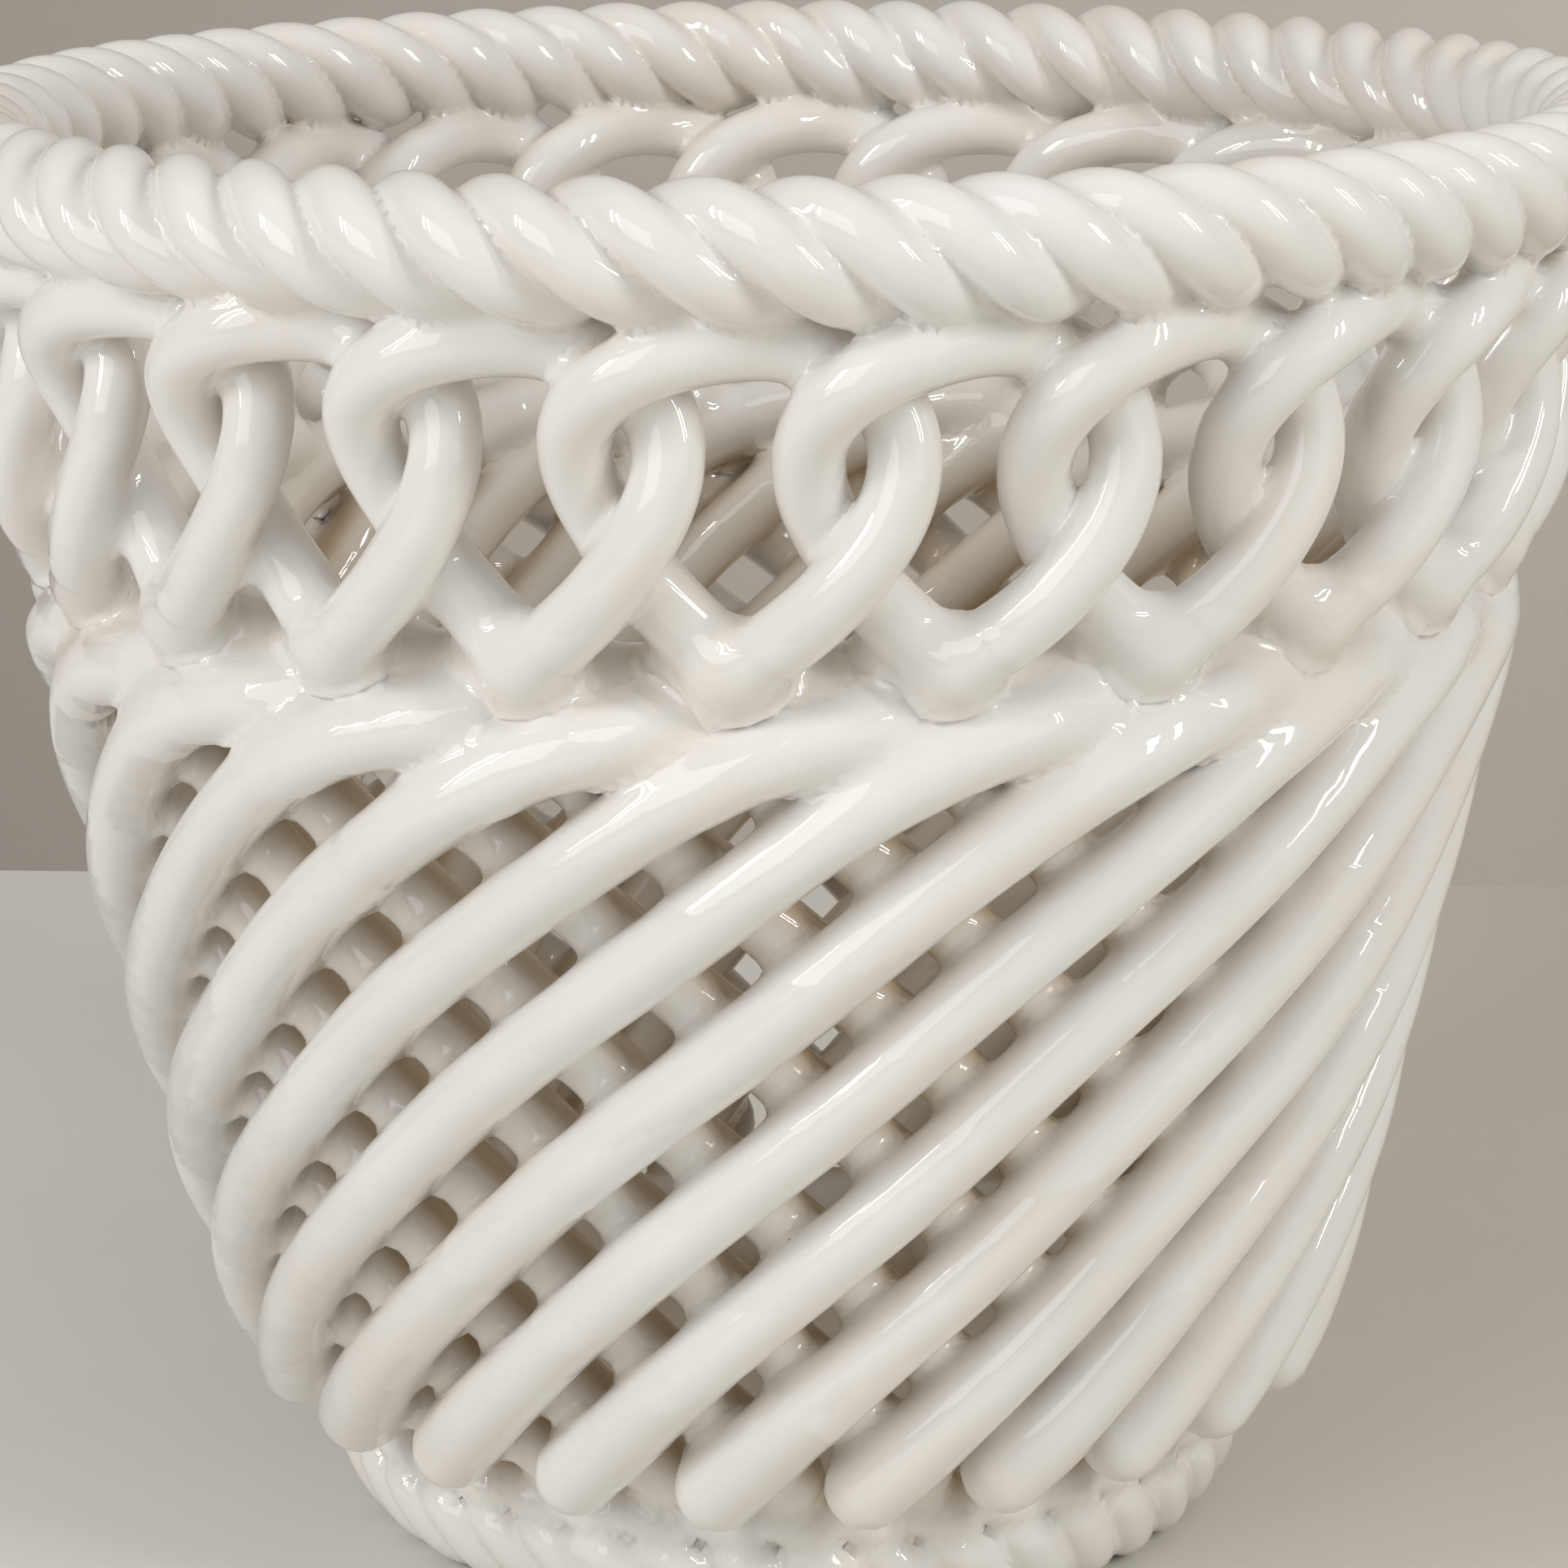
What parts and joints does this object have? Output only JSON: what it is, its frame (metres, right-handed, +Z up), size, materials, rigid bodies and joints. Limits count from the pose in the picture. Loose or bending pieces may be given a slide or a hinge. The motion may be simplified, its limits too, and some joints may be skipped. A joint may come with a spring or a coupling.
{
  "type": "openwork basket",
  "caption": "Round white glazed ceramic basket of rolled coils: twisted foot and rim ropes, crossing slanted wall coils and a band of linked loops.",
  "frame": {"origin": "middle of the basket's underside, on the surface it stands on", "axes": "+Z up along the basket's own axis, -Y towards the viewer"},
  "size_m": [0.2614, 0.2614, 0.2231],
  "materials": {
    "slab_clay": "glazed floor slab with a wiped, bare warm clay underside",
    "foot_glaze": "glossy warm white glaze over a twisted rope",
    "inner_glaze": "glossy warm white glaze, creamier in the hollows",
    "outer_glaze": "glossy warm white glaze",
    "loop_glaze": "glossy warm white glaze pooled where coils touch",
    "rim_glaze": "glossy warm white glaze over a twisted rope"
  },
  "bodies": {
    "root": {"floor_slab": "slab_clay", "foot_strand_1": "foot_glaze", "foot_strand_2": "foot_glaze", "foot_strand_3": "foot_glaze", "inner_coils_01": "inner_glaze", "inner_coils_02": "inner_glaze", "inner_coils_03": "inner_glaze", "inner_coils_04": "inner_glaze", "inner_coils_05": "inner_glaze", "inner_coils_06": "inner_glaze", "inner_coils_07": "inner_glaze", "inner_coils_08": "inner_glaze", "inner_coils_09": "inner_glaze", "inner_coils_10": "inner_glaze", "inner_coils_11": "inner_glaze", "inner_coils_12": "inner_glaze", "outer_coils_01": "outer_glaze", "outer_coils_02": "outer_glaze", "outer_coils_03": "outer_glaze", "outer_coils_04": "outer_glaze", "outer_coils_05": "outer_glaze", "outer_coils_06": "outer_glaze", "outer_coils_07": "outer_glaze", "outer_coils_08": "outer_glaze", "outer_coils_09": "outer_glaze", "outer_coils_10": "outer_glaze", "outer_coils_11": "outer_glaze", "outer_coils_12": "outer_glaze", "loop_01": "loop_glaze", "loop_02": "loop_glaze", "loop_03": "loop_glaze", "loop_04": "loop_glaze", "loop_05": "loop_glaze", "loop_06": "loop_glaze", "loop_07": "loop_glaze", "loop_08": "loop_glaze", "loop_09": "loop_glaze", "loop_10": "loop_glaze", "loop_11": "loop_glaze", "loop_12": "loop_glaze", "loop_13": "loop_glaze", "loop_14": "loop_glaze", "loop_15": "loop_glaze", "loop_16": "loop_glaze", "loop_17": "loop_glaze", "loop_18": "loop_glaze", "loop_19": "loop_glaze", "loop_20": "loop_glaze", "loop_21": "loop_glaze", "loop_22": "loop_glaze", "loop_23": "loop_glaze", "loop_24": "loop_glaze", "rim_strand_1": "rim_glaze", "rim_strand_2": "rim_glaze", "rim_strand_3": "rim_glaze"}
  },
  "joints": []
}
